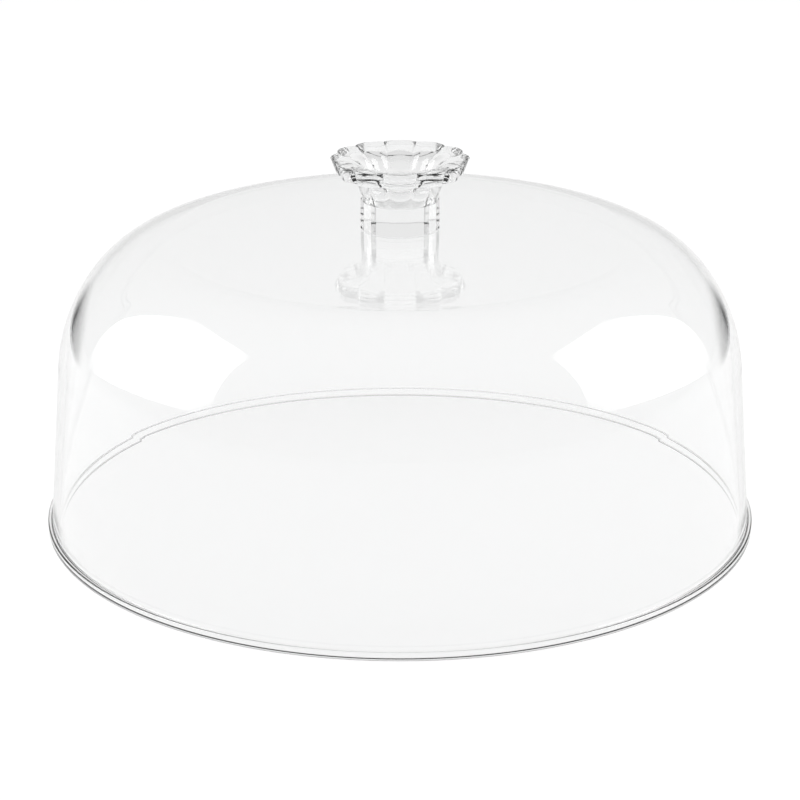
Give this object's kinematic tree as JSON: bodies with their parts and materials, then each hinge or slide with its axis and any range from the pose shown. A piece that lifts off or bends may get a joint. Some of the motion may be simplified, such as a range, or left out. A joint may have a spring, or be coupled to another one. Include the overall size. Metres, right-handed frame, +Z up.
{
  "type": "cake dome",
  "caption": "Tall clear round cake cover with a beaded rim, rounded shoulder, nearly flat crown and a fluted petal-edged lifting knob bonded to its centre.",
  "frame": {"origin": "centre of the rim's underside, on the surface that the dome stands on", "axes": "+Z up along the dome's axis through the knob; +X to the right and +Y away from the viewer of the picture, with petals of the knob centred on both"},
  "size_m": [0.3, 0.3, 0.1562],
  "materials": {
    "clear_shell": "clear polished acrylic",
    "clear_knob": "clear polished acrylic",
    "clear_adhesive": "clear cured adhesive"
  },
  "bodies": {
    "root": {"dome_shell": "clear_shell", "knob_bond": "clear_adhesive", "knob": "clear_knob"}
  },
  "joints": []
}
